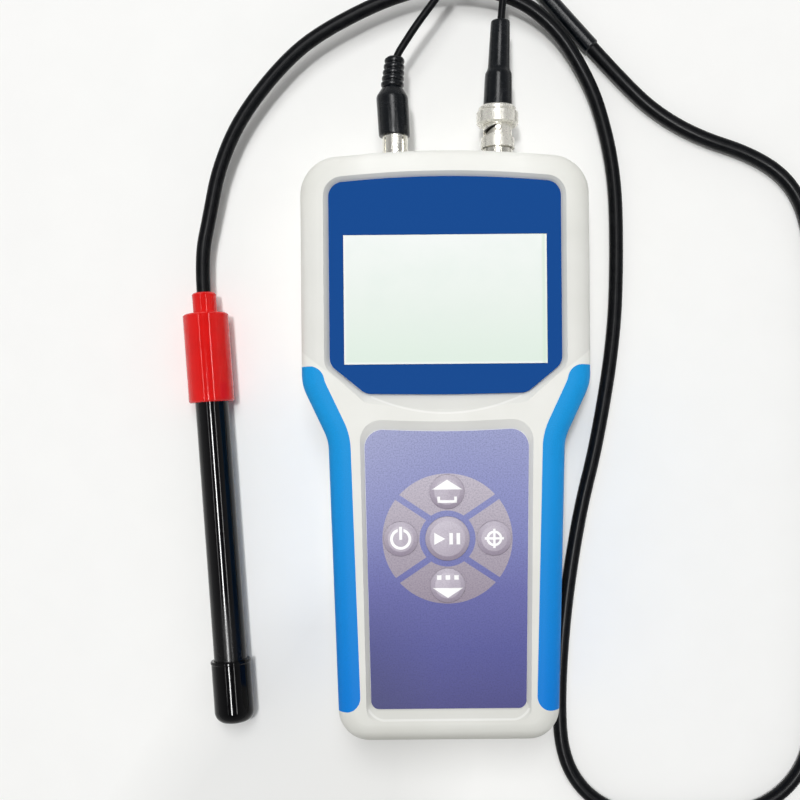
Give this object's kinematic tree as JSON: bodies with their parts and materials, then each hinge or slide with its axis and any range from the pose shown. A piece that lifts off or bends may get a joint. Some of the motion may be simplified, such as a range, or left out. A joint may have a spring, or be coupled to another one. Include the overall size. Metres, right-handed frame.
{
  "type": "conductivity meter",
  "caption": "Handheld conductivity meter with a display, membrane keys and side grips, and a capped probe on a cable that plugs into its top end.",
  "frame": {"origin": "centre of the case's flat back, on the surface that the meter lies on", "axes": "+X to the meter's right seen from the front, +Y to the connector end, +Z out of the display"},
  "size_m": [0.231, 0.3152, 0.035],
  "materials": {
    "case_plastic": "satin",
    "grip_rubber": "matte",
    "panel_blue": "gloss",
    "window_clear": "gloss",
    "lcd": "satin",
    "holder_plastic": "satin",
    "keypad_film": "textured",
    "key_plastic": "satin",
    "dome_steel": "polished",
    "board_green": "satin",
    "chip_black": "matte",
    "screw_steel": "satin",
    "cell_case": "gloss",
    "contact_spring": "polished",
    "nickel": "nickel plated, satin",
    "gold": "gold plated",
    "insulator_white": "satin",
    "boot_rubber": "satin",
    "probe_red": "gloss",
    "probe_black": "gloss",
    "cell_plastic": "satin",
    "electrode_graphite": "matte",
    "cable_black": "satin"
  },
  "bodies": {
    "meter": {"front_shell": "case_plastic", "rear_shell": "case_plastic", "grip_left": "grip_rubber", "grip_right": "grip_rubber", "display_panel": "panel_blue", "display_window": "window_clear", "lcd_glass": "lcd", "lcd_holder": "holder_plastic", "keypad_overlay": "keypad_film", "snap_domes": "dome_steel", "main_board": "board_green", "board_chips": "chip_black", "board_screws": "screw_steel", "case_screws": "screw_steel", "batteries": "cell_case", "battery_contacts": "contact_spring", "bnc_jack_body": "nickel", "bnc_jack_insulator": "insulator_white", "bnc_jack_contact": "gold", "bnc_jack_nut": "nickel", "temp_jack_body": "nickel", "temp_jack_insulator": "insulator_white", "temp_jack_contact": "gold", "temp_plug_sleeve": "nickel", "temp_plug_pin": "nickel", "temp_plug_insulator": "insulator_white", "temp_plug_boot": "boot_rubber", "probe_cable": "cable_black", "split_sleeve": "boot_rubber", "bnc_lead": "cable_black", "temp_lead": "cable_black", "probe_collar": "probe_red", "probe_shaft": "probe_black", "probe_cell": "cell_plastic", "cell_electrodes": "electrode_graphite", "temp_sensor": "screw_steel"},
    "centre_key": {"key_centre": "key_plastic"},
    "up_key": {"key_up": "key_plastic"},
    "down_key": {"key_down": "key_plastic"},
    "power_key": {"key_power": "key_plastic"},
    "right_key": {"key_right": "key_plastic"},
    "sliding_battery_cover": {"battery_cover": "case_plastic"},
    "bnc_plug": {"bnc_plug_body": "nickel", "bnc_plug_insulator": "insulator_white", "bnc_plug_pin": "gold", "bnc_boot": "boot_rubber"},
    "coupling_sleeve": {"bnc_coupling_sleeve": "nickel"},
    "electrode_cap": {"probe_cap": "probe_black"}
  },
  "joints": [
    {"name": "centre_key_press", "type": "slide", "parent": "meter", "child": "centre_key", "axis": [0, 0, -1], "range_m": [0, 0.0004], "stiffness_N_per_m": 500},
    {"name": "up_key_press", "type": "slide", "parent": "meter", "child": "up_key", "axis": [0, 0, -1], "range_m": [0, 0.0004], "stiffness_N_per_m": 500},
    {"name": "down_key_press", "type": "slide", "parent": "meter", "child": "down_key", "axis": [0, 0, -1], "range_m": [0, 0.0004], "stiffness_N_per_m": 500},
    {"name": "power_key_press", "type": "slide", "parent": "meter", "child": "power_key", "axis": [0, 0, -1], "range_m": [0, 0.0004], "stiffness_N_per_m": 500},
    {"name": "right_key_press", "type": "slide", "parent": "meter", "child": "right_key", "axis": [0, 0, -1], "range_m": [0, 0.0004], "stiffness_N_per_m": 500},
    {"name": "battery_cover_slide", "type": "slide", "parent": "meter", "child": "sliding_battery_cover", "axis": [0, -1, 0], "range_m": [0, 0.06]},
    {"name": "electrode_cap_slide", "type": "slide", "parent": "meter", "child": "electrode_cap", "axis": [0.0635, -0.998, -0.0053], "range_m": [0, 0.024]},
    {"name": "bnc_plug_slide", "type": "slide", "parent": "meter", "child": "bnc_plug", "axis": [0, 1, 0], "range_m": [0, 0.0022]},
    {"name": "coupling_sleeve_turn", "type": "hinge", "parent": "bnc_plug", "child": "coupling_sleeve", "pos_m": [0.0186, 0.11, 0.0175], "axis": [0, 1, 0], "range_deg": [0, 80]}
  ],
  "couplings": [
    {"joint": "coupling_sleeve_turn", "follows": "bnc_plug_slide", "rad_per_m": 634.66}
  ]
}
